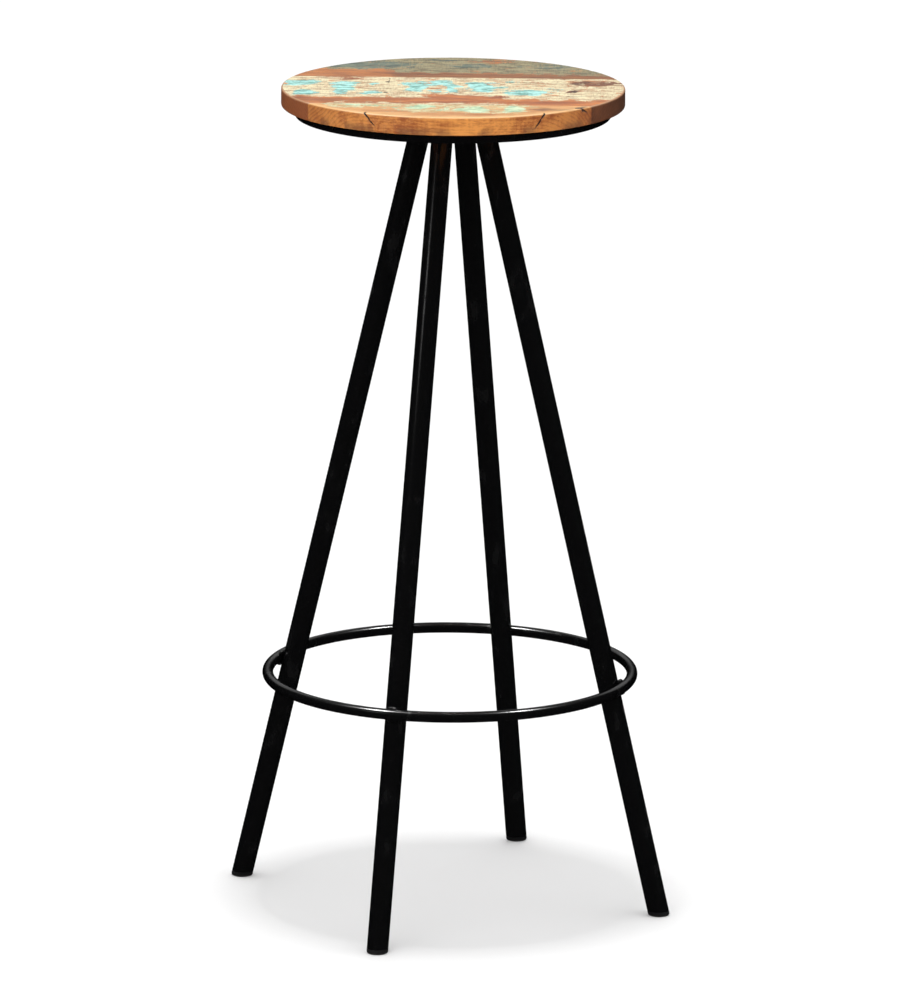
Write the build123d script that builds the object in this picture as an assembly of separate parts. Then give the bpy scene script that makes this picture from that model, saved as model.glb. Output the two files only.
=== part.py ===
from build123d import *
import os
from math import asin, atan2, cos, degrees, radians, sin

os.makedirs("parts", exist_ok=True)

# Bar stool: a round plank seat screwed to a welded steel frame with a foot ring.
# Millimetres, +Z up. The origin is on the floor under the middle of the seat.
# The four legs stand on the diagonals, and -Y is the front.

# Seat, three planks glued edge to edge and sawn round
overall_height = 760.0
seat_diameter = 312.0
seat_thickness = 17.0
seat_top_round = 2.0
seat_bottom_round = 2.0
plank_heading = -28.6           # degrees from +X, along the grain
middle_plank_width = 138.5
middle_plank_shift = -21.25     # from the middle of the seat, square to the grain

# Under-seat frame, a hoop rolled from square bar with flat bars across it
hoop_inset = 12.5               # seat rim to the outside of the hoop
hoop_bar_width = 10.0
hoop_bar_height = 9.0
hoop_corner_round = 0.6
cross_bar_thickness = 5.0
cross_bar_margin = 5.25         # bar showing each side of a leg tube
long_bar_azimuth = 135.0

# Legs, round steel tube leaning outwards
leg_azimuths = {"back_right": 45.0, "back_left": 135.0, "front_left": 225.0, "front_right": 315.0}
leg_diameter = 19.5
leg_wall = 1.2
leg_top_radius = 26.5           # stool's axis to a tube's axis, at the cross bars
leg_foot_radius = 204.0         # the same at the floor

# Foot ring, round rod rolled to touch the outside of all four legs
foot_ring_height = 213.4
foot_ring_rod = 10.0

# Plastic foot plugs, pressed into the tubes
plug_head_height = 4.5
plug_floor_round = 1.8
plug_insert_length = 15.0
plug_core_gap = 0.9             # between the core and the tube's inside
plug_rib_thickness = 1.2
plug_rib_pitch = 4.2
plug_rib_count = 3

# Pan head screws, up through the cross bars into the planks
screw_inset = 28.5              # inside of the hoop to a screw's axis
screw_diameter = 4.8
screw_length = 16.0
screw_point_length = 2.5
screw_hole_clearance = 0.35
screw_head_diameter = 9.6
screw_head_height = 3.0
screw_head_round = 1.6
screw_recess_span = 5.0
screw_recess_width = 1.1
screw_recess_depth = 1.6

# Weld beads
ring_bead_radius = 3.3
ring_bead_length = 5.0          # between the centres of the bead's round ends
ring_bead_throat = 2.45         # tube's surface to the bead's axis
ring_bead_reach = 0.8           # rod's surface to the bead's axis
leg_bead_width = 3.5
leg_bead_height = 4.5
leg_bead_toe = 0.25             # thickness left at the lower edge
hoop_bead_leg = 3.2
hoop_bead_margin = 2.0          # bar left bare at each end of the bead
corner_bead_leg = 4.0
corner_bead_recess = 0.5        # below the bars' faces

# Sizes that follow from those above
wood_bottom = overall_height - seat_thickness
bar_bottom = wood_bottom - cross_bar_thickness
cross_bar_width = leg_diameter + 2 * cross_bar_margin
hoop_outer_radius = seat_diameter / 2 - hoop_inset
hoop_inner_radius = hoop_outer_radius - hoop_bar_width
screw_circle_radius = hoop_inner_radius - screw_inset
leg_radius = leg_diameter / 2
leg_inner_radius = leg_radius - leg_wall
leg_tilt = atan2(leg_foot_radius - leg_top_radius, bar_bottom)
rod_radius = foot_ring_rod / 2


def axis_radius(height):
    """Distance of a leg's axis from the stool's axis at a height."""
    return leg_foot_radius + (leg_top_radius - leg_foot_radius) * height / bar_bottom


foot_ring_radius = axis_radius(foot_ring_height) + (leg_radius + rod_radius) / cos(leg_tilt)


def save(name, *solids):
    """Write one node: a single solid, or a group of separate ones."""
    shape = solids[0] if len(solids) == 1 else Compound(children=list(solids))
    shape.label = name
    export_step(shape, f"parts/{name}.step")


def turned(azimuth, shape):
    """A piece made on the +X side, moved round to an azimuth."""
    return Rot(0, 0, azimuth) * shape


def at_every_leg(make):
    """The same small piece once for each leg."""
    return [turned(azimuth, make()) for azimuth in leg_azimuths.values()]


def leg_bar(radius, low, high):
    """A round bar on the axis of the +X leg, cut level at both ends."""
    overshoot = 2 * radius
    middle = (low + high) / 2
    length = (high - low) / cos(leg_tilt) + 2 * overshoot
    along = Plane(origin=(axis_radius(middle), 0, middle), x_dir=(0, 1, 0),
                  z_dir=(-sin(leg_tilt), 0, cos(leg_tilt)))
    bar = along * Cylinder(radius, length)
    bar = split(bar, bisect_by=Plane.XY.offset(low), keep=Keep.TOP)
    return split(bar, bisect_by=Plane.XY.offset(high), keep=Keep.BOTTOM)


# Legs and foot ring

def leg_tube():
    bore = leg_bar(leg_inner_radius, 0, overall_height)
    return leg_bar(leg_radius, plug_head_height, bar_bottom) - bore


def foot_ring():
    return Pos(0, 0, foot_ring_height) * Torus(foot_ring_radius, rod_radius)


def foot_plug():
    """Head flush with the tube, on a ribbed core that grips the tube's inside."""
    head = leg_bar(leg_radius, 0, plug_head_height)
    head = fillet(head.edges().sort_by(Axis.Z)[0], plug_floor_round)
    core_radius = leg_inner_radius - plug_core_gap
    plug = head + leg_bar(core_radius, plug_head_height, plug_head_height + plug_insert_length)
    for rib in range(plug_rib_count):
        low = plug_head_height + plug_rib_pitch * (rib + 0.5)
        plug += leg_bar(leg_inner_radius, low, low + plug_rib_thickness)
    return plug


# Under-seat frame

def seat_hoop():
    ring = Cylinder(hoop_outer_radius, hoop_bar_height) - Cylinder(hoop_inner_radius, hoop_bar_height)
    ring = fillet(ring.edges().group_by(Axis.Z)[0], hoop_corner_round)
    return Pos(0, 0, wood_bottom - hoop_bar_height / 2) * ring


def screw_hole():
    hole = Cylinder(screw_diameter / 2 + screw_hole_clearance, cross_bar_thickness)
    return Pos(screw_circle_radius, 0, bar_bottom + cross_bar_thickness / 2) * hole


def half_bar(inner_end):
    """Flat bar on the +X side, from inner_end to the curved inside of the hoop."""
    height = bar_bottom + cross_bar_thickness / 2
    length = hoop_inner_radius - inner_end
    bar = Pos(inner_end + length / 2, 0, height) * Box(length, cross_bar_width, cross_bar_thickness)
    inside = Pos(0, 0, height) * Cylinder(hoop_inner_radius, cross_bar_thickness)
    return (bar & inside) - screw_hole()


def long_cross_bar():
    half = half_bar(0)
    return turned(long_bar_azimuth, half + turned(180, half))


def short_cross_bar(azimuth):
    return turned(azimuth, half_bar(cross_bar_width / 2))


# Screws and seat planks

def screw_shank():
    straight = screw_length - screw_point_length
    shank = Pos(0, 0, straight / 2) * Cylinder(screw_diameter / 2, straight)
    point = Cone(screw_diameter / 2, screw_diameter / 10, screw_point_length)
    shank += Pos(0, 0, straight + screw_point_length / 2) * point
    return Pos(screw_circle_radius, 0, bar_bottom) * shank


def screw():
    head = Cylinder(screw_head_diameter / 2, screw_head_height)
    head = fillet(head.edges().group_by(Axis.Z)[0], screw_head_round)
    recess = Box(screw_recess_span, screw_recess_width, screw_recess_depth)
    recess += Box(screw_recess_width, screw_recess_span, screw_recess_depth)
    head -= Pos(0, 0, (screw_recess_depth - screw_head_height) / 2) * recess
    return Pos(screw_circle_radius, 0, bar_bottom - screw_head_height / 2) * head + screw_shank()


def joint_plane(offset):
    """Upright plane along the grain, facing the back of the seat."""
    heading = radians(plank_heading)
    across = Vector(-sin(heading), cos(heading), 0)
    return Plane(origin=across * offset, z_dir=across)


def seat_planks():
    """Back, middle and front planks of the round seat, with pilot holes for the screws."""
    disc = Pos(0, 0, wood_bottom + seat_thickness / 2) * Cylinder(seat_diameter / 2, seat_thickness)
    disc = fillet(disc.edges().group_by(Axis.Z)[-1], seat_top_round)
    disc = fillet(disc.edges().group_by(Axis.Z)[0], seat_bottom_round)
    for shank in at_every_leg(screw_shank):
        disc -= shank
    back_joint = joint_plane(middle_plank_shift + middle_plank_width / 2)
    front_joint = joint_plane(middle_plank_shift - middle_plank_width / 2)
    back = split(disc, bisect_by=back_joint, keep=Keep.TOP)
    rest = split(disc, bisect_by=back_joint, keep=Keep.BOTTOM)
    middle = split(rest, bisect_by=front_joint, keep=Keep.TOP)
    front = split(rest, bisect_by=front_joint, keep=Keep.BOTTOM)
    return back, middle, front


# Weld beads

def ring_bead(side):
    """Short bead in the groove between the +X leg and the foot ring, above (1) or below (-1)."""
    outward = Vector(cos(leg_tilt), 0, sin(leg_tilt))
    up_leg = Vector(-sin(leg_tilt), 0, cos(leg_tilt))
    rod_centre = Vector(foot_ring_radius, 0, foot_ring_height)
    inward = rod_radius - ring_bead_throat
    along = ((rod_radius + ring_bead_reach) ** 2 - inward ** 2) ** 0.5
    centre = rod_centre - outward * inward + up_leg * (side * along)
    stadium = SlotCenterToCenter(ring_bead_length, 2 * ring_bead_radius, rotation=90)
    profile = split(stadium, bisect_by=Plane.YZ, keep=Keep.TOP)
    bead = Pos(centre) * revolve(profile, Axis.Y)
    return bead - leg_bar(leg_radius, 0, bar_bottom) - foot_ring()


def leg_top_bead():
    """Fillet bead round the top of the +X leg, under the cross bar."""
    levels = ((bar_bottom, leg_bead_width), (bar_bottom - leg_bead_height, leg_bead_toe))
    rings = []
    for height, proud in levels:
        ellipse = Ellipse(leg_radius / cos(leg_tilt) + proud, leg_radius + proud)
        rings.append(Pos(axis_radius(height), 0, height) * ellipse)
    return loft(rings) - leg_bar(leg_radius, 0, overall_height)


def hoop_bead():
    """Fillet bead under the end of the +X cross bar, against the inside of the hoop."""
    corner = (hoop_inner_radius, bar_bottom)
    across = (hoop_inner_radius - hoop_bead_leg, bar_bottom)
    down = (hoop_inner_radius, bar_bottom - hoop_bead_leg)
    section = Plane.XZ * make_face(Polyline(corner, across, down, close=True))
    half_angle = degrees(asin((cross_bar_width / 2 - hoop_bead_margin) / hoop_inner_radius))
    return Rot(0, 0, -half_angle) * revolve(section, Axis.Z, 2 * half_angle)


def corner_bead():
    """Bead in the corner where a short cross bar meets the side of the long one."""
    side = cross_bar_width / 2
    reach = side + corner_bead_leg
    section = Polyline((side, side), (reach, side), (side, reach), close=True)
    height = cross_bar_thickness - 2 * corner_bead_recess
    return Pos(0, 0, bar_bottom + corner_bead_recess) * extrude(make_face(section), height)


# Write every node

back_plank, middle_plank, front_plank = seat_planks()
save("seat_plank_back", back_plank)
save("seat_plank_middle", middle_plank)
save("seat_plank_front", front_plank)
save("seat_screws", *at_every_leg(screw))
save("seat_hoop", seat_hoop())
save("cross_bar_long", long_cross_bar())
save("cross_bar_front_left", short_cross_bar(leg_azimuths["front_left"]))
save("cross_bar_back_right", short_cross_bar(leg_azimuths["back_right"]))
save("hoop_welds", *at_every_leg(hoop_bead))
save("cross_bar_welds", *[turned(90 * quarter + long_bar_azimuth, corner_bead()) for quarter in range(4)])
save("foot_ring", foot_ring())
for corner_name, azimuth in leg_azimuths.items():
    save(f"leg_{corner_name}", turned(azimuth, leg_tube()))
    save(f"leg_top_weld_{corner_name}", turned(azimuth, leg_top_bead()))
    save(f"foot_ring_weld_{corner_name}", turned(azimuth, ring_bead(1)), turned(azimuth, ring_bead(-1)))
    save(f"foot_plug_{corner_name}", turned(azimuth, foot_plug()))

print(f"foot ring radius {foot_ring_radius:.2f}, leg tilt {degrees(leg_tilt):.2f} degrees")
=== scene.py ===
from math import asin, atan2, cos, pi, radians, sin, sqrt

import bpy
import numpy as np
from mathutils import Matrix, Vector, noise


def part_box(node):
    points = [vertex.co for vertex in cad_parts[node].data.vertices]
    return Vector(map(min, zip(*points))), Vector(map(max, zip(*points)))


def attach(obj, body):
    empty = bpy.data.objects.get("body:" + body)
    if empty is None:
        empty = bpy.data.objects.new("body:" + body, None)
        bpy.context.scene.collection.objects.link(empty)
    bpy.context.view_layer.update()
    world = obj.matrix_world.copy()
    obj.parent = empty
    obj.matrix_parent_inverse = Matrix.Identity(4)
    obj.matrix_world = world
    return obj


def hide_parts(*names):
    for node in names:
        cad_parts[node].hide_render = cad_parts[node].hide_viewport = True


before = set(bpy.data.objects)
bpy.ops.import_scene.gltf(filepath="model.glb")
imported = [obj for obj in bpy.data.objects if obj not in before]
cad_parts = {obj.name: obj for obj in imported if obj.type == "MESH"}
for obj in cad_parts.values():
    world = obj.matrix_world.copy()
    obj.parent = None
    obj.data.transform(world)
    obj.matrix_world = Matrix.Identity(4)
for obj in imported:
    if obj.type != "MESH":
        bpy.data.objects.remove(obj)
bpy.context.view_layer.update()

# ---------------------------------------------------------------------------
# Camera. It stands far back at a standing person's eye height with a long lens,
# so the four splayed legs are seen almost without perspective. Lengths are in metres.

camera_lens = 288
camera_away = 7.146
camera_aside = 0.0102
camera_height = 2.0314
camera_turn = radians(-26.72)
camera_dip = radians(13.046)
camera_roll = radians(0.344)

camera = bpy.data.objects.new("camera", bpy.data.cameras.new("camera"))
bpy.context.scene.collection.objects.link(camera)
bpy.context.scene.camera = camera
camera.data.lens = camera_lens
camera.data.clip_end = 14 * camera_away
camera.matrix_world = (
    Matrix.Rotation(camera_turn, 4, "Z")
    @ Matrix.Translation((camera_aside, -camera_away, camera_height))
    @ Matrix.Rotation(pi / 2 - camera_dip, 4, "X")
    @ Matrix.Rotation(camera_roll, 4, "Z")
)


# ---------------------------------------------------------------------------
# Floor and light. A white studio floor under an even sky. A small lamp right above the
# seat drops its round shadow between the feet, two soft boxes light the rim, and a wide
# panel keeps the floor behind white. Gloss shows no sky and no boxes, so black steel
# stays black. Small glint lamps draw the bright lines on the foot ring and on one leg.

floor_size = 60.0
floor_white = 0.95
floor_roughness = 0.9
sky_strength = 0.80

# Name, place, target, width, power in watts, and whether colour, gloss or both see it.
lamps = (
    ("lamp_above", (-0.01, 0.0, 3.3), (-0.01, 0, 0), 0.26, 27, "both"),
    ("box_left", (-2.6, -2.2, 2.2), (0, 0, 0.5), 3.6, 24, "colour"),
    ("box_right", (2.9, -1.2, 1.6), (0, 0, 0.5), 3.2, 8, "colour"),
    ("panel_behind", (3.9, 7.6, 4.2), (3.9, 7.6, 0), 11.0, 170, "both"),
    ("glint_left", (-1.81, 0.91, 4.8), (0, 0, 0.3), 0.4, 300, "gloss"),
    ("glint_right", (1.81, -0.91, 4.8), (0, 0, 0.3), 0.4, 230, "gloss"),
    ("glint_leg", (-1.5, -0.42, 1.14), (-0.05, -0.05, 0.65), 0.25, 0.7, "gloss"),
)

world = bpy.data.worlds.new("studio")
bpy.context.scene.world = world
world.use_nodes = True
world.node_tree.nodes["Background"].inputs["Color"].default_value = (1, 1, 1, 1)
world.node_tree.nodes["Background"].inputs["Strength"].default_value = sky_strength
world.cycles_visibility.glossy = False
bpy.context.scene.view_settings.view_transform = "Standard"

floor_mesh = bpy.data.meshes.new("floor")
half = floor_size / 2
floor_corners = [(-half, -half, 0), (half, -half, 0), (half, half, 0), (-half, half, 0)]
floor_mesh.from_pydata(floor_corners, [], [(0, 1, 2, 3)])
floor = bpy.data.objects.new("floor", floor_mesh)
bpy.context.scene.collection.objects.link(floor)
floor.visible_glossy = False
floor_paint = bpy.data.materials.new("floor_paint")
floor_paint.use_nodes = True
floor_shader = floor_paint.node_tree.nodes["Principled BSDF"]
floor_shader.inputs["Base Color"].default_value = (floor_white, floor_white, floor_white, 1)
floor_shader.inputs["Roughness"].default_value = floor_roughness
floor_shader.inputs["Specular IOR Level"].default_value = 0.0
floor_mesh.materials.append(floor_paint)

for lamp_name, place, target, width, power, seen_by in lamps:
    light = bpy.data.objects.new(lamp_name, bpy.data.lights.new(lamp_name, "AREA"))
    bpy.context.scene.collection.objects.link(light)
    light.data.shape = "DISK"
    light.data.size = width
    light.data.energy = power
    light.visible_diffuse = seen_by != "gloss"
    light.visible_glossy = seen_by != "colour"
    aim = (Vector(target) - Vector(place)).to_track_quat("-Z", "Y")
    light.matrix_world = Matrix.Translation(place) @ aim.to_matrix().to_4x4()


# ---------------------------------------------------------------------------
# Black powder coat. Every steel piece is blasted mild steel sprayed with gloss
# black powder after welding. The film has a fine orange peel and a few soft scuffs.

class Value:
    """One output of a node, with arithmetic that adds Math nodes to its tree."""

    def __init__(self, graph, socket):
        self.graph = graph
        self.socket = socket

    def out(self, key):
        """Another output of the same node, by name or number."""
        return Value(self.graph, self.socket.node.outputs[key])

    def __add__(self, other):
        return self.graph.math("ADD", self, other)

    def __radd__(self, other):
        return self.graph.math("ADD", other, self)

    def __sub__(self, other):
        return self.graph.math("SUBTRACT", self, other)

    def __rsub__(self, other):
        return self.graph.math("SUBTRACT", other, self)

    def __mul__(self, other):
        return self.graph.math("MULTIPLY", self, other)

    def __rmul__(self, other):
        return self.graph.math("MULTIPLY", other, self)

    def __truediv__(self, other):
        return self.graph.math("DIVIDE", self, other)

    def __pow__(self, other):
        return self.graph.math("POWER", self, other)


class Graph:
    """A node tree being written, for a finish or for a shape."""

    def __init__(self, tree):
        self.tree = tree

    def node(self, kind, settings=(), values=()):
        """Adds a node, sets it up, fills its sockets, and returns its first output."""
        made = self.tree.nodes.new(kind)
        for key, value in dict(settings).items():
            setattr(made, key, value)
        for key, value in dict(values).items():
            if isinstance(value, Value):
                self.tree.links.new(value.socket, made.inputs[key])
            else:
                made.inputs[key].default_value = value
        return Value(self, made.outputs[0])

    def math(self, operation, *operands):
        return self.node("ShaderNodeMath", {"operation": operation}, enumerate(operands))

    def vector(self, operation, *operands):
        return self.node("ShaderNodeVectorMath", {"operation": operation}, enumerate(operands))

    def step(self, value, low, high):
        """0 below low, 1 above high, and smooth between."""
        values = {"Value": value, "From Min": low, "From Max": high}
        return self.node("ShaderNodeMapRange", {"interpolation_type": "SMOOTHSTEP"}, values)


def srgb(red, green, blue):
    """A paint chip's colour, 0 to 255 a channel, as the renderer's linear colour."""
    return tuple((channel / 255) ** 2.2 for channel in (red, green, blue)) + (1,)


class Finish(Graph):
    """A material with one Principled shader, on Object coordinates in millimetres."""

    def __init__(self, name, turn=0.0):
        self.material = bpy.data.materials.new(name)
        self.material.use_nodes = True
        super().__init__(self.material.node_tree)
        self.tree.nodes.clear()
        self.shader = self.tree.nodes.new("ShaderNodeBsdfPrincipled")
        output = self.tree.nodes.new("ShaderNodeOutputMaterial")
        self.tree.links.new(self.shader.outputs["BSDF"], output.inputs["Surface"])
        place = self.node("ShaderNodeTexCoord").out("Object")
        values = {"Vector": place, "Rotation": (0, 0, turn), "Scale": (1000, 1000, 1000)}
        self.place = self.node("ShaderNodeMapping", {}, values)

    def set(self, name, value):
        """Drives one of the shader's sockets, or fills it with a plain number."""
        if isinstance(value, Value):
            self.tree.links.new(value.socket, self.shader.inputs[name])
        else:
            self.shader.inputs[name].default_value = value

    def mottle(self, size, detail=2.0, roughness=0.5, shift=0.0):
        """Noise from 0 to 1 with blotches of a size in mm, one size or (x, y, z)."""
        sizes = size if isinstance(size, tuple) else (size, size, size)
        scaled = self.vector("MULTIPLY", self.place, tuple(1 / each for each in sizes))
        moved = self.vector("ADD", scaled, (shift, shift * 1.7, shift * 0.6))
        values = {"Vector": moved, "Scale": 1.0, "Detail": detail, "Roughness": roughness}
        return self.node("ShaderNodeTexNoise", {}, values)

    def field(self, name):
        """A wear field that the piece's own mesh carries as an attribute, 0 to 1."""
        return self.node("ShaderNodeAttribute", {"attribute_name": name}).out("Fac")

    def mix(self, amount, first, second):
        """The first colour at 0 and the second at 1, with amounts past them held."""
        settings = {"data_type": "RGBA", "clamp_factor": True}
        return self.node("ShaderNodeMix", settings, {0: amount, 6: first, 7: second}).out(2)

    def bump(self, height):
        """Relief in mm, laid on the shader's normal."""
        values = {"Height": height, "Distance": 0.001, "Strength": 1.0}
        self.set("Normal", self.node("ShaderNodeBump", {}, values))


def powder_coat():
    """Gloss black with a fine orange peel, dull grey scuffs and a few specks of dust."""
    finish = Finish("black_powder_coat")
    peel = finish.mottle(2.2, detail=1.0)
    scuffs = finish.step(finish.mottle((14, 14, 30), detail=4.0, shift=3), 0.55, 0.75)
    dust = finish.step(finish.mottle(0.7, detail=1.0, shift=9), 0.74, 0.8)
    film = finish.mix(scuffs * 0.5, srgb(18, 18, 19), srgb(31, 31, 31))
    finish.set("Base Color", finish.mix(dust * 0.3, film, srgb(70, 68, 64)))
    finish.set("Roughness", 0.21 + scuffs * 0.14 + dust * 0.2)
    finish.set("Specular IOR Level", 0.45)
    finish.bump(peel * 0.05)
    return finish.material


black_coat = powder_coat()


# ---------------------------------------------------------------------------
# Legs. Four round steel tubes, cut level at both ends. They lean out from the cross
# bars to the floor, and each stands on a plastic plug.

class Recipe(Graph):
    """A Geometry Nodes tree with named size inputs, in metres, that makes one plain mesh."""

    def __init__(self, name, *inputs):
        super().__init__(bpy.data.node_groups.new(name, "GeometryNodeTree"))
        face = self.tree.interface
        face.new_socket("Geometry", in_out="INPUT", socket_type="NodeSocketGeometry")
        face.new_socket("Geometry", in_out="OUTPUT", socket_type="NodeSocketGeometry")
        self.keys = {}
        for size in inputs:
            socket = face.new_socket(size, in_out="INPUT", socket_type="NodeSocketFloat")
            self.keys[size] = socket.identifier
        self.given = Value(self, self.tree.nodes.new("NodeGroupInput").outputs[0])

    def end(self, mesh, material):
        """Closes the tree on a mesh, smooth and with its material."""
        real = self.node("GeometryNodeRealizeInstances", {}, {"Geometry": mesh})
        smooth = self.node("GeometryNodeSetShadeSmooth", {}, {"Geometry": real})
        values = {"Geometry": smooth, "Material": material}
        finished = self.node("GeometryNodeSetMaterial", {}, values)
        output = self.tree.nodes.new("NodeGroupOutput")
        self.tree.links.new(finished.socket, output.inputs[0])
        return self

    def make(self, name, sizes, paths=(), sharp=35):
        """Runs the tree, on paths of points where it needs them, and returns the plain piece."""
        points, edges = [], []
        for path in paths:
            edges += [(len(points) + i, len(points) + i + 1) for i in range(len(path) - 1)]
            points += path
        guide = bpy.data.meshes.new(name + "_guide")
        guide.from_pydata(points, edges, [])
        maker = bpy.data.objects.new(name + "_maker", guide)
        bpy.context.scene.collection.objects.link(maker)
        modifier = maker.modifiers.new("recipe", "NODES")
        modifier.node_group = self.tree
        for size, value in sizes.items():
            modifier[self.keys[size]] = float(value)
        evaluated = maker.evaluated_get(bpy.context.evaluated_depsgraph_get())
        mesh = bpy.data.meshes.new_from_object(evaluated)
        maker.modifiers.remove(modifier)
        bpy.data.objects.remove(maker)
        mesh.name = name
        mesh.set_sharp_from_angle(angle=radians(sharp))
        piece = bpy.data.objects.new(name, mesh)
        bpy.context.scene.collection.objects.link(piece)
        return piece


def fit_frame(piece, slot, *nodes):
    """The piece stands for these nodes of the stool, and is part of its one rigid body."""
    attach(piece, "root")
    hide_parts(*nodes)


leg_azimuths = {"back_right": 45, "back_left": 135, "front_left": 225, "front_right": 315}
leg_radius = 0.00975
leg_wall = 0.0012
leg_arris = 0.0003
leg_sides = 72
arris_sides = 3
cut_tolerance = 0.00001
leg_low, leg_high = (corner.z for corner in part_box("leg_back_right"))


def leg_section_reach(height):
    """How far out the middle of the CAD leg's cut end lies at this height."""
    corners = [vertex.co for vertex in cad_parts["leg_back_right"].data.vertices]
    along = [(co.x + co.y) / sqrt(2) for co in corners if abs(co.z - height) < cut_tolerance]
    return (min(along) + max(along)) / 2


leg_foot_reach = leg_section_reach(leg_low)
leg_top_reach = leg_section_reach(leg_high)
leg_lean = atan2(leg_foot_reach - leg_top_reach, leg_high - leg_low)


def leg_axis(height):
    """Distance of a leg's axis from the stool's axis at this height."""
    share = (height - leg_low) / (leg_high - leg_low)
    return leg_foot_reach + (leg_top_reach - leg_foot_reach) * share


def leg_recipe():
    """An upright tube swept round a circle, then drawn out to an ellipse and leaned over."""
    inputs = ("Mean radius", "Wall", "Length", "Arris", "Middle height", "Reach", "Lean", "Azimuth")
    recipe = Recipe("leg_tube", *inputs)
    size = recipe.given.out
    values = {"Resolution": leg_sides, "Radius": size("Mean radius")}
    circle = recipe.node("GeometryNodeCurvePrimitiveCircle", {}, values)
    values = {"Width": size("Wall"), "Height": size("Length")}
    wall = recipe.node("GeometryNodeCurvePrimitiveQuadrilateral", {}, values)
    values = {"Curve": wall, "Radius": size("Arris"), "Count": arris_sides}
    wall = recipe.node("GeometryNodeFilletCurve", {"mode": "POLY"}, values)
    tube = recipe.node("GeometryNodeCurveToMesh", {}, {"Curve": circle, "Profile Curve": wall})
    place = recipe.node("GeometryNodeInputPosition")
    split = recipe.node("ShaderNodeSeparateXYZ", {}, {"Vector": place})
    lean = size("Lean")
    leaned = split / recipe.math("COSINE", lean) - split.out("Z") * recipe.math("TANGENT", lean)
    height = split.out("Z") + size("Middle height")
    values = {"X": leaned + size("Reach"), "Y": split.out("Y"), "Z": height}
    moved = recipe.node("ShaderNodeCombineXYZ", {}, values)
    tube = recipe.node("GeometryNodeSetPosition", {}, {"Geometry": tube, "Position": moved})
    turn = recipe.node("ShaderNodeCombineXYZ", {}, {"Z": size("Azimuth")})
    tube = recipe.node("GeometryNodeTransform", {}, {"Geometry": tube, "Rotation": turn})
    return recipe.end(tube, black_coat)


leg_tube = leg_recipe()
leg_middle = (leg_low + leg_high) / 2
for corner, azimuth in leg_azimuths.items():
    sizes = {
        "Mean radius": leg_radius - leg_wall / 2,
        "Wall": leg_wall,
        "Length": leg_high - leg_low,
        "Arris": leg_arris,
        "Middle height": leg_middle,
        "Reach": leg_axis(leg_middle),
        "Lean": leg_lean,
        "Azimuth": radians(azimuth),
    }
    leg = leg_tube.make("leg_" + corner + "_tube", sizes)
    fit_frame(leg, "black_powder_coat", "leg_" + corner)


# ---------------------------------------------------------------------------
# Foot ring and under-seat hoop. Both are cold-rolled bar closed by a butt weld: round
# rod for the foot ring, square bar for the hoop that carries the planks.

ring_sides = 360
rod_sides = 40
hoop_bar_width = 0.010
hoop_corner_round = 0.0009
hoop_sides = 288
corner_sides = 5


def ring_sizes(node):
    """Outer radius, bar height and middle height of a level ring round the stool's axis."""
    low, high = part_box(node)
    return min(high.x, -low.x, high.y, -low.y), high.z - low.z, (low.z + high.z) / 2


def foot_ring_recipe():
    """A circle of round rod, lifted to its height."""
    recipe = Recipe("foot_ring", "Ring radius", "Rod radius", "Height")
    size = recipe.given.out
    values = {"Resolution": ring_sides, "Radius": size("Ring radius")}
    circle = recipe.node("GeometryNodeCurvePrimitiveCircle", {}, values)
    values = {"Resolution": rod_sides, "Radius": size("Rod radius")}
    rod = recipe.node("GeometryNodeCurvePrimitiveCircle", {}, values)
    ring = recipe.node("GeometryNodeCurveToMesh", {}, {"Curve": circle, "Profile Curve": rod})
    lift = recipe.node("ShaderNodeCombineXYZ", {}, {"Z": size("Height")})
    ring = recipe.node("GeometryNodeSetPosition", {}, {"Geometry": ring, "Offset": lift})
    return recipe.end(ring, black_coat)


def hoop_recipe():
    """A circle of square bar with rounded corners, lifted to its height."""
    recipe = Recipe("seat_hoop", "Middle radius", "Bar width", "Bar height", "Corner", "Height")
    size = recipe.given.out
    values = {"Resolution": hoop_sides, "Radius": size("Middle radius")}
    circle = recipe.node("GeometryNodeCurvePrimitiveCircle", {}, values)
    values = {"Width": size("Bar width"), "Height": size("Bar height")}
    bar = recipe.node("GeometryNodeCurvePrimitiveQuadrilateral", {}, values)
    values = {"Curve": bar, "Radius": size("Corner"), "Count": corner_sides}
    bar = recipe.node("GeometryNodeFilletCurve", {"mode": "POLY"}, values)
    hoop = recipe.node("GeometryNodeCurveToMesh", {}, {"Curve": circle, "Profile Curve": bar})
    lift = recipe.node("ShaderNodeCombineXYZ", {}, {"Z": size("Height")})
    hoop = recipe.node("GeometryNodeSetPosition", {}, {"Geometry": hoop, "Offset": lift})
    return recipe.end(hoop, black_coat)


ring_outer, rod_diameter, ring_height = ring_sizes("foot_ring")
ring_radius = ring_outer - rod_diameter / 2
sizes = {"Ring radius": ring_radius, "Rod radius": rod_diameter / 2, "Height": ring_height}
fit_frame(foot_ring_recipe().make("foot_ring_rod", sizes), "black_powder_coat", "foot_ring")

hoop_outer, hoop_tall, hoop_height = ring_sizes("seat_hoop")
hoop_inner = hoop_outer - hoop_bar_width
sizes = {
    "Middle radius": hoop_outer - hoop_bar_width / 2,
    "Bar width": hoop_bar_width,
    "Bar height": hoop_tall,
    "Corner": hoop_corner_round,
    "Height": hoop_height,
}
fit_frame(hoop_recipe().make("seat_hoop_bar", sizes), "black_powder_coat", "seat_hoop")


# ---------------------------------------------------------------------------
# Cross bars. Flat steel bar, one long and two short ones butted against it, cut to the
# curve of the hoop. They keep their CAD shape and take the powder coat.

def finish_node(name, material):
    """A piece that keeps its CAD shape takes its finish."""
    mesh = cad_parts[name].data
    mesh.materials.clear()
    mesh.materials.append(material)


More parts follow.
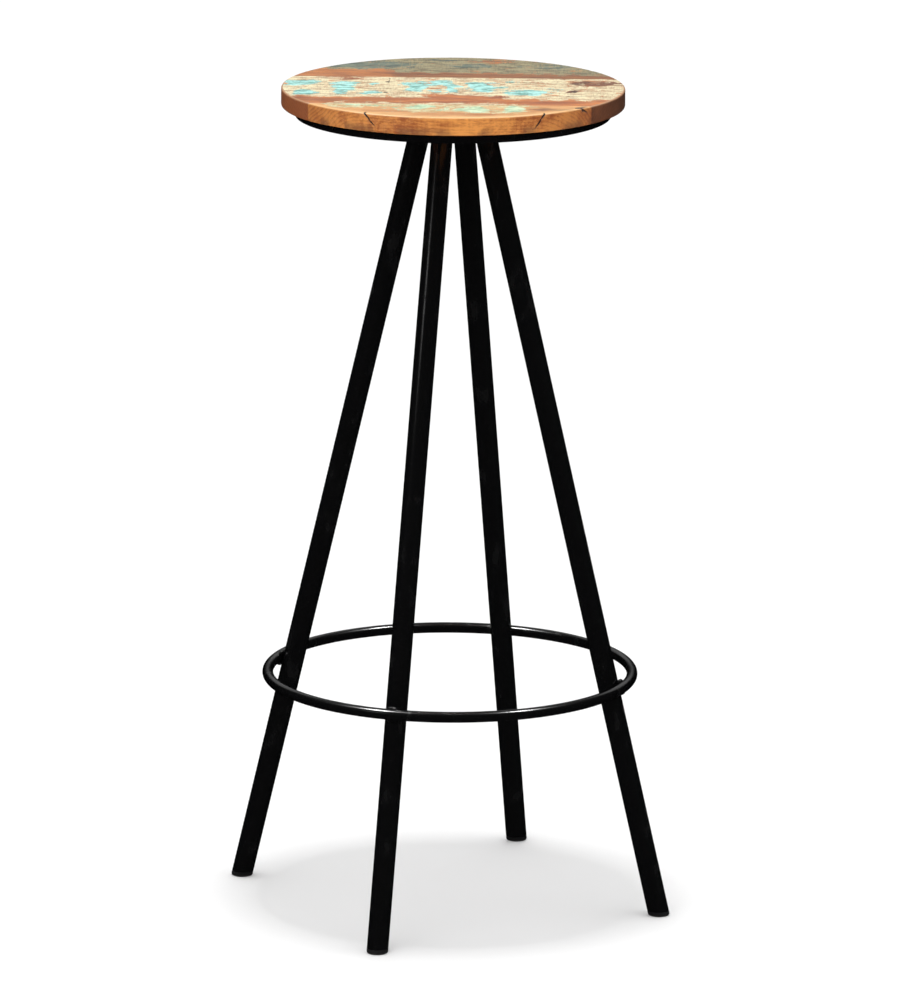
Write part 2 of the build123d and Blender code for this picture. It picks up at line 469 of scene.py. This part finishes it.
for bar_name in ("cross_bar_long", "cross_bar_front_left", "cross_bar_back_right"):
    finish_node(bar_name, black_coat)


# ---------------------------------------------------------------------------
# Weld beads. MIG beads laid by hand before coating: a row of overlapping ripples, thinner
# where the arc starts and stops, sunk a little into both pieces that they join.

bead_step = 0.0004
bead_sides = 20
bead_ends = 0.16
blob_scale = 260.0
ripple_pitch = 0.0013
ripple_depth = 0.22
ring_bead_bite = 0.0022
hoop_bead_half = 0.012
cross_bar_half = 0.015
corner_bead_gap = 0.0012


def bead_recipe():
    """A round bead along a path, rippled, uneven and thinner towards its two ends."""
    recipe = Recipe("weld_bead", "Bead radius", "Ripple pitch", "Ripple depth", "End taper")
    size = recipe.given.out
    path = recipe.node("GeometryNodeMeshToCurve", {}, {"Mesh": recipe.given})
    values = {"Curve": path, "Length": bead_step}
    path = recipe.node("GeometryNodeResampleCurve", {"mode": "LENGTH"}, values)
    along = recipe.node("GeometryNodeSplineParameter")
    turns = along.out("Length") / size("Ripple pitch")
    ripple = recipe.math("ABSOLUTE", recipe.math("SINE", turns * pi))
    blob = recipe.node("ShaderNodeTexNoise", {}, {"Scale": blob_scale, "Detail": 1.0})
    end = recipe.math("MINIMUM", along, 1 - along)
    taper = 1 - size("End taper") * (1 - recipe.step(end, 0.0, bead_ends))
    width = (1 - size("Ripple depth") * (1 - ripple)) * (0.82 + blob * 0.36) * taper
    values = {"Resolution": bead_sides, "Radius": 1.0}
    profile = recipe.node("GeometryNodeCurvePrimitiveCircle", {}, values)
    scale = width * size("Bead radius")
    values = {"Curve": path, "Profile Curve": profile, "Scale": scale, "Fill Caps": True}
    bead = recipe.node("GeometryNodeCurveToMesh", {}, values)
    return recipe.end(bead, black_coat)


weld_bead = bead_recipe()


def lay_beads(name, paths, radius, nodes, taper=0.75):
    """Runs the bead along each path, as one piece that stands for the CAD welds."""
    sizes = {
        "Bead radius": radius,
        "Ripple pitch": ripple_pitch,
        "Ripple depth": ripple_depth,
        "End taper": taper,
    }
    beads = weld_bead.make(name, sizes, paths, sharp=180)
    fit_frame(beads, "black_powder_coat", *nodes)


def turned(points, azimuth):
    """The same points, turned from +X to this azimuth."""
    turn = Matrix.Rotation(radians(azimuth), 3, "Z")
    return [turn @ Vector(point) for point in points]


def leg_top_path(drop=0.0016, gap=0.0009, steps=72):
    """Round the +X leg just under the cross bar, a hair outside the tube."""
    height = leg_high - drop
    across = leg_radius + gap
    points = []
    for step in range(steps + 1):
        angle = pi + 2 * pi * step / steps
        along = leg_axis(height) + across / cos(leg_lean) * cos(angle)
        points.append((along, across * sin(angle), height))
    return points


def ring_bead_path(side, reach=0.0045, gap=0.0006, steps=20):
    """A run in the groove between the +X leg and the foot ring, above (1) or below (-1)."""
    outward = Vector((cos(leg_lean), 0, sin(leg_lean)))
    up_leg = Vector((-sin(leg_lean), 0, cos(leg_lean)))
    inset = rod_diameter / 2 - ring_bead_bite
    rise = sqrt((rod_diameter / 2 + gap) ** 2 - inset ** 2)
    middle = Vector((ring_radius, 0, ring_height)) - outward * inset + up_leg * (side * rise)
    points = []
    for step in range(steps + 1):
        y = reach * (2 * step / steps - 1)
        sag = (leg_radius - sqrt(leg_radius ** 2 - y ** 2)) * 0.55
        points.append(middle - outward * sag - up_leg * (side * sag * 0.4) + Vector((0, y, 0)))
    return points


def hoop_bead_path(sink=0.0009, steps=24):
    """Under the end of the +X cross bar, along the inside of the hoop."""
    half = asin(hoop_bead_half / hoop_inner)
    radius = hoop_inner - sink
    angles = [half * (2 * step / steps - 1) for step in range(steps + 1)]
    return [(radius * cos(angle), radius * sin(angle), leg_high - sink) for angle in angles]


def corner_bead_path(sink=0.0009):
    """Down the +X corner where a short cross bar meets the long one."""
    out = sqrt(2) * (cross_bar_half + corner_bead_gap)
    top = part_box("cross_bar_long")[1].z - sink
    foot = leg_high + sink
    return [(out, 0, top), (out, 0, (leg_high + top) / 2), (out, 0, foot)]


for corner, azimuth in leg_azimuths.items():
    top_path = turned(leg_top_path(), azimuth)
    lay_beads("leg_top_bead_" + corner, [top_path], 0.0021, ["leg_top_weld_" + corner], taper=0.2)
    ring_paths = [turned(ring_bead_path(side), azimuth) for side in (1, -1)]
    lay_beads("foot_ring_bead_" + corner, ring_paths, 0.0024, ["foot_ring_weld_" + corner])
hoop_paths = [turned(hoop_bead_path(), azimuth) for azimuth in leg_azimuths.values()]
lay_beads("hoop_beads", hoop_paths, 0.0018, ["hoop_welds"])
corner_paths = [turned(corner_bead_path(), azimuth) for azimuth in (0, 90, 180, 270)]
lay_beads("cross_bar_beads", corner_paths, 0.0016, ["cross_bar_welds"], taper=0.3)


# ---------------------------------------------------------------------------
# Foot plugs. Black polyethylene mouldings pressed into the tubes, satin with a fine
# spark-eroded grain, scuffed grey where they slide on the floor.

def plug_plastic():
    """Satin black, with grey rubbed patches in the lowest two millimetres."""
    finish = Finish("black_plastic")
    grain = finish.mottle(0.35, detail=2.0)
    height = finish.node("ShaderNodeSeparateXYZ", {}, {"Vector": finish.place}).out("Z")
    patches = finish.step(finish.mottle(1.6, detail=3.0), 0.35, 0.6)
    rubbed = (1 - finish.step(height, 0.3, 2.2)) * patches
    finish.set("Base Color", finish.mix(rubbed * 0.6, srgb(26, 26, 27), srgb(88, 86, 82)))
    finish.set("Roughness", 0.5 + rubbed * 0.25 + grain * 0.08)
    finish.bump(grain * 0.03)
    return finish.material


plug_material = plug_plastic()
for corner in leg_azimuths:
    finish_node("foot_plug_" + corner, plug_material)


# ---------------------------------------------------------------------------
# Seat screws. Pan head wood screws of zinc plated steel, driven up through the cross bars
# into the planks. They keep their CAD shape.

def zinc_plate():
    """Cloudy bright plating with fine turning marks."""
    finish = Finish("zinc_screw")
    cloud = finish.mottle(1.5, detail=3.0)
    scratch = finish.mottle((0.2, 3.0, 3.0), detail=2.0)
    finish.set("Base Color", finish.mix(cloud, srgb(170, 172, 168), srgb(205, 202, 190)))
    finish.set("Metallic", 0.5)
    finish.set("Roughness", 0.3 + cloud * 0.15)
    finish.bump(scratch * 0.01)
    return finish.material


finish_node("seat_screws", zinc_plate())


# ---------------------------------------------------------------------------
# Seat planks. Three boards of reclaimed hardwood from old painted timber, glued edge to
# edge, cut to a disc and sanded. Ridges are worn through to wood and paint stays in the
# hollows. The cut rim is bare, with end grain where a board ends. Sizes here are in mm.

grain_heading = radians(-28.6)
to_grain = Matrix.Rotation(-grain_heading, 3, "Z")
to_stool = Matrix.Rotation(grain_heading, 3, "Z")
seat_low, seat_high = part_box("seat_plank_middle")
seat_bottom = seat_low.z * 1000
seat_top = seat_high.z * 1000
seat_radius = 156.0
rim_arris = 2.0
joint_arris = 0.6
round_board_corner = radians(52)
board_pitch = 0.9
wall_rings = 12
coat_thickness = 0.12
sanding_depth = 15
warp_reach = 7


def ease(value, low, high):
    """0 below low, 1 above high, and smooth between, on arrays."""
    part = np.clip((value - low) / (high - low), 0, 1)
    return part * part * (3 - 2 * part)


class Board:
    """One plank's skin: places along the grain, across it, and heights above the floor.

    A grid covers the flat top. Rings of points carry on from its edge, over the arris,
    down the edge face and in under the board, and one flat face closes the underside.
    Every point knows its share of the flat top, 0 past the arris, and of the cut rim.
    The front board is built as if it lay at the back, then mirrored by its side, -1.
    """

    def __init__(self, node_name):
        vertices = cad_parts[node_name].data.vertices
        across = [1000 * (to_grain @ vertex.co).y for vertex in vertices]
        self.name = node_name
        self.side = -1 if min(across) < 1 - seat_radius else 1
        self.low, self.high = sorted((self.side * min(across), self.side * max(across)))
        self.round = self.high > seat_radius - 1
        self.build()

    def ring_at(self, inset):
        """The outline's four edges, inset by a share of the arris.

        Each edge gives places along and across, its arris, and its share of the cut rim.
        """
        radius = seat_radius - rim_arris * inset
        start = asin((self.low + rim_arris * inset) / radius)
        stop = round_board_corner if self.round else asin((self.high - rim_arris * inset) / radius)
        spread = np.linspace(-1, 1, self.columns)
        corner = ease(np.abs(spread), 0.93, 1)
        arris = joint_arris + (rim_arris - joint_arris) * corner
        low_edge = (spread * radius * cos(start), self.low + arris * inset, arris, corner)
        turn = np.linspace(start, stop, self.rows)
        right = (radius * np.cos(turn), radius * np.sin(turn), rim_arris + 0 * turn, 1 + 0 * turn)
        if self.round:
            turn = np.linspace(stop, pi - stop, self.columns)
            top = (radius * np.cos(turn), radius * np.sin(turn), rim_arris + 0 * turn, 1 + 0 * turn)
        else:
            top = (-spread * radius * cos(stop), self.high - arris * inset, arris, corner)
        left = (-right[0][::-1], right[1][::-1], right[2], right[3])
        return [np.array(edge) for edge in (low_edge, right, top, left)]

    def build(self):
        """Lays the top grid between the four edges, then a ring at a time to the underside."""
        width = self.high - self.low
        self.columns = int(2 * seat_radius / board_pitch)
        end_share = 0.8 if self.round else 1.0
        self.rows = int(width / board_pitch * end_share)
        low_edge, right, top, left = (edge[:2] for edge in self.ring_at(1.0))
        s = np.linspace(0, 1, self.columns)[None, :, None]
        t = np.linspace(0, 1, self.rows)[:, None, None]
        near_edge, far_edge = low_edge.T[None], top.T[::-1][None]
        left_edge, right_edge = left.T[::-1][:, None], right.T[:, None]
        grid = (1 - t) * near_edge + t * far_edge + (1 - s) * left_edge + s * right_edge
        grid = grid - (1 - s) * (1 - t) * near_edge[:, :1] - s * (1 - t) * near_edge[:, -1:]
        grid = grid - (1 - s) * t * far_edge[:, :1] - s * t * far_edge[:, -1:]

        index = np.arange(self.rows * self.columns).reshape(self.rows, self.columns)
        quads = [index[:-1, :-1], index[:-1, 1:], index[1:, 1:], index[1:, :-1]]
        faces = [np.stack(quads, -1).reshape(-1, 4)]
        loop = np.concatenate([index[0, :-1], index[:-1, -1], index[-1, :0:-1], index[:0:-1, 0]])
        blank = 0 * index.ravel()
        skin = [(grid[..., 0].ravel(), grid[..., 1].ravel(), seat_top + blank, 1 + blank, blank)]

        over_arris = np.radians((18, 36, 54, 72, 90))
        under_arris = np.radians((30, 60, 90))
        steps = [(1 - sin(angle), 1 - cos(angle), 0.0) for angle in over_arris]
        steps += [(0.0, 1.0, share) for share in np.linspace(0, 1, wall_rings)[1:]]
        steps += [(1 - cos(angle), 1.0, 1 + sin(angle)) for angle in under_arris]
        count = index.size
        for inset, over, down in steps:
            edges = self.ring_at(inset)
            along, across, arris, rim = np.concatenate([edge[:, :-1] for edge in edges], axis=1)
            wall_top = seat_top - arris * over
            wall_foot = seat_bottom + rim_arris
            height = wall_top + (wall_foot - wall_top) * min(down, 1) - rim_arris * max(down - 1, 0)
            ring = count + np.arange(len(along))
            quads = [loop, ring, np.roll(ring, -1), np.roll(loop, -1)]
            faces.append(np.stack(quads, -1))
            skin.append((along, across, height, inset * (down == 0) + 0 * along, rim))
            loop, count = ring, count + len(along)

        self.along, self.across, self.height, self.flat, self.rim = (
            np.concatenate([part[i] for part in skin]) for i in range(5)
        )
        self.across = self.across * self.side
        self.drop = seat_top - self.height
        self.faces = [list(face) for face in np.concatenate(faces).tolist()] + [loop[::-1].tolist()]
        if self.side < 0:
            self.faces = [face[::-1] for face in self.faces]
        self.warp = (warp_reach * self.ripples(16, 11, 3.3), warp_reach * self.ripples(13, 17, 8.1))

    def ripples(self, length, width, seed, deep=30.0):
        """Noise from -1 to 1, stretched by its lengths along the grain, across it and down."""
        along = self.along / length + seed
        across = self.across / width - seed
        down = self.drop / deep + seed
        return np.array([noise.noise(place) for place in zip(along, across, down)])

    def blots(self, *spots):
        """Round ragged spots: middle and half length along the grain, both across, strength."""
        cover = np.zeros_like(self.along)
        for middle, half, middle_across, half_across, strength in spots:
            from_middle = np.hypot(
                (self.along + 1.3 * self.warp[0] - middle) / half,
                (self.across + 1.3 * self.warp[1] - middle_across) / half_across,
            )
            cover = np.maximum(cover, strength * (1 - ease(from_middle, 0.45, 1.45)))
        return cover * self.flat

    def bands(self, *spots, soft=7.0):
        """1 inside any band: from and to along the grain, from and to across it, strength."""
        along, across = self.along + self.warp[0], self.across + self.warp[1]
        cover = np.zeros_like(along)
        for near, far, low, high, strength in spots:
            inside = ease(along, near - soft, near + soft) * (1 - ease(along, far - soft, far + soft))
            inside *= ease(across, low - soft, low + soft) * (1 - ease(across, high - soft, high + soft))
            cover = np.maximum(cover, inside * strength)
        return cover * self.flat

    def splits(self, *lines):
        """Depth in mm of drying splits and nail pits: two ends, half width and depth."""
        depth = np.zeros_like(self.along)
        for first, last, half, deep in lines:
            run = np.array(last, float) - np.array(first, float)
            offset = np.stack([self.along, self.across, self.drop], -1) - np.array(first, float)
            share = np.clip(offset @ run / max(run @ run, 1e-6), 0, 1)
            apart = np.linalg.norm(offset - share[:, None] * run, axis=1)
            taper = np.sqrt(np.clip(1.02 - share, 0, 1)) if run @ run > 9 else 1.0
            depth = np.maximum(depth, deep * taper * np.exp(-((apart / half) ** 2)))
        return depth

    def finish(self, slot, material, fields, split):
        """Presses the relief in, and makes the piece with its wear fields as attributes."""
        wave = 0.10 + 0.14 * self.ripples(70, 28, 1.7)
        ridges = 0.08 + 0.10 * self.ripples(90, 1.9, 5.2)
        dents = 0.25 * ease(self.ripples(12, 8, 9.4), 0.42, 0.62)
        worn = coat_thickness * (1 - np.clip(fields["coat"], 0, 1))
        pressed = np.maximum(wave, 0) + np.maximum(ridges, 0) + dents + worn + split
        tooled = 0.05 + 0.06 * self.ripples(2.4, 2.4, 2.1, deep=9.0)
        tooled += 0.10 * self.ripples(22, 22, 6.6, deep=5.0)
        pushed = (np.maximum(tooled, 0) + 0.6 * split) * self.rim * (self.drop < sanding_depth)
        height = self.height - pressed * self.flat
        shrink = 1 - pushed * (1 - self.flat) / seat_radius
        points = np.stack([self.along * shrink, self.across * shrink, height], -1)
        points = points @ np.array(to_stool).T / 1000
        mesh = bpy.data.meshes.new(self.name + "_board")
        mesh.from_pydata(points.tolist(), [], self.faces)
        mesh.shade_smooth()
        turned_rim = (1 - self.flat) * self.rim
        fields["rim"] = 1 - self.flat
        fields.setdefault("sanded_and_highlight", 0 * self.flat)
        fields["end_grain"] = turned_rim * (np.abs(self.along) / seat_radius) ** 2
        fields["split"] = np.clip(split / 0.8, 0, 1)
        for name, values in fields.items():
            layer = mesh.attributes.new(name, "FLOAT", "POINT")
            layer.data.foreach_set("value", values.astype(np.float32))
        mesh.materials.append(material)
        piece = bpy.data.objects.new(self.name + "_board", mesh)
        bpy.context.scene.collection.objects.link(piece)
        fit_frame(piece, slot, self.name)


def at_rim(azimuth, drop, inset=0.0):
    """A point of the seat's edge by its azimuth from the grain, its drop and inset in mm."""
    radius = seat_radius - inset
    return radius * cos(radians(azimuth)), radius * sin(radians(azimuth)), drop


def reclaimed_wood(name, worn, rim, ends, arris, coat, second, pith, ring_width=3.2):
    """Old painted hardwood. Each pair of colours is the light and the dark of one layer. The dark end
    colour, for the right end, is painted shade, and the arris colour is partly a painted highlight.
    """
    finish = Finish(name, turn=-grain_heading)
    along = finish.node("ShaderNodeSeparateXYZ", {}, {"Vector": finish.place})
    across = along.out("Y")
    height = along.out("Z")

    # Growth rings round the pith, then fibres, pores and stains drawn out along the grain.
    wander = (finish.mottle((150, 45, 45), detail=3.0) - 0.5) * 16
    from_pith = finish.math("SQRT", (across - pith[0]) ** 2 + (height - pith[1]) ** 2) + wander
    ring = finish.math("FRACT", from_pith / ring_width)
    late_wood = finish.step(ring, 0.35, 0.92) * (1 - finish.step(ring, 0.94, 1.0))
    fibre = finish.mottle((28, 0.7, 0.7), detail=4.0, roughness=0.6, shift=2)
    cloud = finish.mottle((46, 15, 15), detail=3.0, shift=5)
    pore = finish.step(finish.mottle((6.0, 0.42, 0.42), detail=1.0, shift=4), 0.6, 0.7)
    streak = finish.mottle((26, 3.0, 3.0), detail=4.0, roughness=0.65, shift=12)
    grain = late_wood * 0.3 + (fibre - 0.5) * 1.2 + (streak - 0.5) * 2.2
    grain = grain + (cloud - 0.5) * 2.0 + 0.35 + pore * 0.2
    blotch = finish.mottle((9, 9, 14), detail=4.0, roughness=0.6, shift=13)
    sawn = finish.mottle((2.6, 2.6, 30), detail=3.0, shift=14)
    edge_grain = (blotch - 0.5) * 1.5 + (streak - 0.5) * 1.4 + (fibre - 0.5) * 1.6
    edge_grain = edge_grain + (sawn - 0.5) * 0.8 + (cloud - 0.5) * 2.6
    edge_grain = edge_grain + late_wood * 0.25 + pore * 0.25 + 0.3

    # Bare wood: the top, the cut rim, the ends of the board, the underside and the arrises. The light arris
    # colour is worn wood and also a painted highlight.
    top_wood = finish.mix(grain, worn[0], worn[1])
    rim_wood = finish.mix(edge_grain, rim[0], rim[1])
    # The right end of each board takes the darker end colour: painted shade on the side away from the
    # strong left lamp.
    end_tone_and_shade = finish.mix(finish.step(along, -60, 60), ends[0], ends[1])
    speck = finish.mottle((1.2, 0.5, 1.6), detail=4.0, roughness=0.7, shift=7)
    end_wood = finish.mix(late_wood * 0.25 + speck * 0.55, end_tone_and_shade, srgb(52, 28, 16))
    above_foot = finish.step(height, seat_bottom + 0.1, seat_bottom + 0.6)
    turned_wood = finish.mix(finish.field("end_grain") * above_foot, rim_wood, end_wood)
    underside = finish.mix(grain * 0.8 + sawn * 0.3, rim[0], rim[1])
    turned_wood = finish.mix(above_foot, underside, turned_wood)
    bare = finish.mix(finish.field("rim"), top_wood, turned_wood)
    # Arrises and the front board's sanded strip lean to the light arris colour: worn bare wood, and a
    # painted highlight along the edge.
    arris_wear_and_highlight = finish.field("rim") * (1 - finish.field("rim")) * 3.0
    bare = finish.mix(arris_wear_and_highlight + finish.field("sanded_and_highlight") * 0.7, bare, arris)
    bare = finish.mix(finish.field("stain") * (0.55 + fibre * 0.6), bare, srgb(92, 60, 40))

    # Two coats of old paint, each left where its field says and ragged at its edges.
    scratch = finish.mottle((24, 2.6, 2.6), detail=5.0, roughness=0.65, shift=1) - 0.5
    saw_mark = finish.mottle((1.1, 18, 18), detail=2.0, shift=6) - 0.5
    flake = finish.mottle((7, 6, 6), detail=6.0, roughness=0.65, shift=8) - 0.5
    ragged = scratch * 2.2 + saw_mark * 0.7 + flake * 1.8
    top_only = 1 - finish.step(finish.field("rim"), 0.1, 0.5)
    coat_cover = finish.field("coat") + ragged - finish.field("stain") * 0.25
    coat_left = finish.step(coat_cover, 0.43, 0.51) * top_only
    second_cover = finish.field("second") + ragged * 0.9
    second_left = finish.step(second_cover, 0.46, 0.56) * top_only
    paint_cloud = finish.mottle((18, 7, 7), detail=4.0, shift=11)
    chalk = finish.mottle((3.0, 1.4, 1.4), detail=3.0, shift=16) - 0.5
    coat_tone = (paint_cloud - 0.5) * 3.4 + saw_mark * 1.4 + chalk * 2.2 + 0.38
    second_tone = (paint_cloud - 0.5) * 4.0 + flake * 2.4 + chalk * 2.0 + 0.42
    painted = finish.mix(coat_left, bare, finish.mix(coat_tone, coat[0], coat[1]))
    painted = finish.mix(second_left, painted, finish.mix(second_tone, second[0], second[1]))

    # Grime in the scratches, and dark drying splits with a brown edge.
    in_scratches = finish.step(scratch + flake * 0.4, 0.08, 0.24)
    grime = in_scratches * 0.4 * (1 - finish.field("rim"))
    painted = finish.mix(grime, painted, srgb(120, 84, 60))
    cracked = finish.step(finish.field("split") + (fibre - 0.5) * 0.25, 0.25, 0.6)
    split_edge = finish.step(finish.field("split"), 0.06, 0.5) * 0.5
    painted = finish.mix(split_edge, painted, srgb(96, 56, 34))
    finish.set("Base Color", finish.mix(cracked, painted, srgb(34, 19, 12)))

    covered = finish.math("MAXIMUM", coat_left, second_left)
    finish.set("Roughness", 0.42 + covered * 0.12 + fibre * 0.08 + cracked * 0.25)
    relief = coat_left * 0.10 + second_left * 0.08 - fibre * 0.10 - pore * 0.10 - cracked * 0.5
    finish.bump(relief - late_wood * 0.03 + saw_mark * 0.05)
    return finish.material


back = Board("seat_plank_back")
back_wood = reclaimed_wood(
    "green_plank",
    worn=(srgb(212, 130, 62), srgb(142, 82, 42)),
    rim=(srgb(182, 108, 50), srgb(120, 66, 30)),
    # ends: left end, then right end painted darker as shade; arris: worn edge and painted highlight
    ends=(srgb(120, 66, 38), srgb(104, 62, 40)),
    arris=srgb(170, 128, 84),
    coat=(srgb(160, 148, 108), srgb(108, 100, 70)),
    second=(srgb(118, 128, 108), srgb(78, 92, 80)),
    pith=(120, 716),
)
back_fields = {
    "coat": back.bands(
        (-200, 200, 88, 170, 0.9), (-60, 200, 72, 170, 0.86), (60, 200, 62, 170, 0.64),
    ),
    "second": back.blots(
        (-76, 44, 112, 24, 0.8), (14, 22, 110, 13, 0.7), (84, 30, 110, 16, 0.5), (-14, 16, 140, 9, 0.6),
    ),
    "stain": back.bands((-58, 200, 40, 72, 0.6)),
}
back_fields["coat"] -= back.blots((34, 22, 136, 15, 0.5))
back_split = back.splits(
    ((-96, 101, 0), (-22, 104, 0), 0.7, 0.7),
    ((30, 88, 0), (88, 86, 0), 0.6, 0.6),
    ((-31, 138, 0), (24, 140, 0), 0.6, 0.5),
)
back.finish("green_plank", back_wood, back_fields, back_split)

middle = Board("seat_plank_middle")
middle_wood = reclaimed_wood(
    "cream_plank",
    worn=(srgb(218, 130, 62), srgb(152, 80, 42)),
    rim=(srgb(158, 88, 44), srgb(104, 54, 28)),
    # ends: left end, then right end painted darker as shade; arris: worn edge and painted highlight
    ends=(srgb(178, 96, 46), srgb(112, 68, 42)),
    arris=srgb(206, 160, 118),
    coat=(srgb(238, 226, 182), srgb(182, 148, 110)),
    second=(srgb(178, 238, 230), srgb(92, 154, 142)),
    pith=(-10, 690),
)
middle_fields = {
    "coat": middle.bands(
        (-200, -24, -57, 60, 0.78), (-34, 62, -42, 60, 0.78), (48, 200, -62, 60, 0.76),
        (-112, 70, -98, -81, 0.62),
    ),
    "second": middle.blots(
        (-141, 18, 14, 17, 1.1), (-133, 11, -36, 15, 0.9), (-98, 10, -14, 34, 1.0), (-100, 14, 12, 10, 0.9),
        (-73, 10, -33, 12, 1.1), (-73, 5, 12, 9, 0.6), (-33, 10, 0, 26, 1.2), (-44, 8, 10, 9, 0.8),
        (-12, 11, 18, 15, 1.1), (0, 7, -4, 24, 1.1), (-14, 6, -22, 10, 0.6), (25, 13, 2, 26, 1.25),
        (44, 6, -2, 7, 0.6), (68, 20, -25, 15, 1.3), (94, 8, -10, 12, 0.5), (52, 12, 28, 7, 0.5),
    ),
    "stain": middle.blots(
        (110, 7, -18, 10, 1.2), (111, 6, -44, 5, 1.0), (115, 8, 24, 16, 1.0), (137, 17, 26, 14, 0.8),
        (100, 12, 44, 6, 0.6), (-100, 16, 44, 12, 0.35),
    ),
}
middle_fields["stain"] = np.maximum(middle_fields["stain"], middle.bands((-200, -50, -84, -62, 0.3)))
middle_fields["coat"] -= middle.bands((-118, -84, 26, 60, 0.32), (-25, -20, 8, 60, 0.5))
middle_fields["coat"] -= middle.blots(
    (128, 24, 24, 16, 0.36), (110, 7, -18, 10, 0.45), (60, 40, 22, 12, 0.14),
)
middle_split = middle.splits(
    ((-84, -11, 0), (-46, -12, 0), 0.7, 0.9),
    ((-59, 43, 0), (-60, -9, 0), 0.5, 0.5),
    ((62, 27, 0), (116, 24, 0), 0.7, 0.8),
    ((94, -39, 0), (146, -41, 0), 0.6, 0.7),
    ((-146, 15, 0), (-112, 13, 0), 0.6, 0.7),
    ((-118, 38, 0), (-64, 36, 0), 0.6, 0.6),
    ((8, -52, 0), (-52, -54, 0), 0.5, 0.5),
    ((-60, 24, 0), (-60, 23, 0), 1.6, 1.2),
    ((-60, -30, 0), (-60, -31, 0), 1.6, 1.2),
    ((110, -18, 0), (110, -19, 0), 2.2, 1.0),
)
middle.finish("cream_plank", middle_wood, middle_fields, middle_split)

front = Board("seat_plank_front")
front_wood = reclaimed_wood(
    "orange_plank",
    worn=(srgb(232, 172, 108), srgb(190, 118, 62)),
    rim=(srgb(234, 152, 70), srgb(164, 84, 28)),
    # ends: left end, then right end painted darker as shade; arris: worn edge and painted highlight
    ends=(srgb(206, 122, 54), srgb(168, 88, 36)),
    arris=srgb(244, 190, 122),
    coat=(srgb(224, 216, 166), srgb(190, 162, 106)),
    second=(srgb(216, 234, 194), srgb(158, 192, 152)),
    pith=(-150, 712),
)
front_fields = {
    "coat": front.bands(
        (-116, -58, -110, -84, 0.68), (-64, 76, -103, -84, 0.68), (-50, 70, -132, -90, 0.56),
    ),
    "second": front.blots(
        (-25, 12, -103, 12, 0.95), (22, 16, -113, 16, 1.05), (54, 11, -111, 14, 1.05),
        (-78, 20, -96, 7, 0.6), (-3, 8, -112, 10, 0.7), (-48, 9, -112, 8, 0.45),
    ),
    "stain": front.blots((92, 24, -109, 5, 0.6), (120, 8, -101, 7, 1.0), (-40, 30, -99, 6, 0.2)),
}
front_split = front.splits(
    (at_rim(240.9, 0, 5), at_rim(241.5, 0.6), 0.8, 1.1),
    (at_rim(241.5, 0.6), at_rim(243.0, 4.5), 0.72, 1.3),
    (at_rim(243.0, 4.5), at_rim(243.9, 7.5), 0.6, 0.9),
    (at_rim(243.9, 7.5), at_rim(245.8, 12.0), 0.55, 0.8),
    (at_rim(304.0, 0, 4), at_rim(303.6, 0.6), 0.7, 1.0),
    (at_rim(303.6, 0.6), at_rim(302.1, 5.0), 0.7, 1.2),
    (at_rim(302.1, 5.0), at_rim(301.6, 7.5), 0.5, 0.8),
    (at_rim(301.6, 7.5), at_rim(299.5, 14.0), 0.6, 0.9),
    (at_rim(319.0, 0, 4), at_rim(320.5, 3.5), 2.0, 1.3),
    (at_rim(320.5, 2.5), at_rim(323.0, 6.0), 0.7, 0.7),
    ((72, -108, 0), (108, -110, 0), 0.6, 0.6),
    ((-104, -98, 0), (-66, -100, 0), 0.5, 0.4),
)
tool_burn = ease(front.drop, 8.5, 14) * ease(front.ripples(15, 15, 4.4), 0.02, 0.3) * front.rim
front_fields["stain"] = np.maximum(front_fields["stain"], 0.55 * tool_burn)
# A strip inside the front board's rim is sanded bare of paint and takes the light arris colour, partly a
# painted highlight along the front edge.
from_centre = np.hypot(front.along, front.across) + 0.5 * front.warp[0]
front_fields["sanded_and_highlight"] = front.flat * ease(from_centre, 144, 154)
front_fields["coat"] -= 0.5 * front_fields["sanded_and_highlight"]
front_fields["second"] -= 0.5 * front_fields["sanded_and_highlight"]
front.finish("orange_plank", front_wood, front_fields, front_split)
